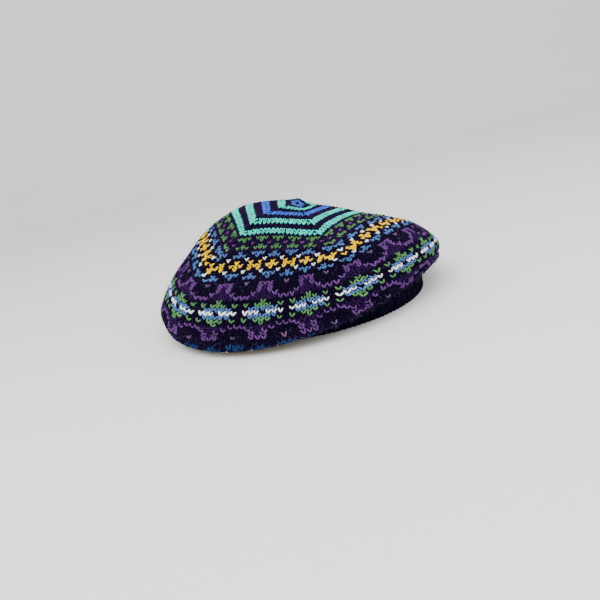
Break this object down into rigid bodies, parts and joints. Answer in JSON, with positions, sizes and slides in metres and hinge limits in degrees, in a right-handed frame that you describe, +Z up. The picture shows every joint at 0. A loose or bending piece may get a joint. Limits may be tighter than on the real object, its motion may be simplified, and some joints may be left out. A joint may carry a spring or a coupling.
{
  "type": "knit beret",
  "caption": "Soft stranded-knit beret: a hollow crown with a five-sided wheel of coloured rows, over a ribbed headband.",
  "frame": {"origin": "on the surface that the headband's lower rim rests on, under the middle of the hat's outline", "axes": "+Z up through the crown, -Y towards the front of the hat, +X towards the wearer's left"},
  "size_m": [0.2214, 0.218, 0.0813],
  "materials": {
    "crown_wool": "soft stranded wool knit, dark aubergine ground",
    "band_wool": "soft ribbed wool knit, near-black purple"
  },
  "bodies": {
    "root": {"crown": "crown_wool", "band": "band_wool"}
  },
  "joints": []
}
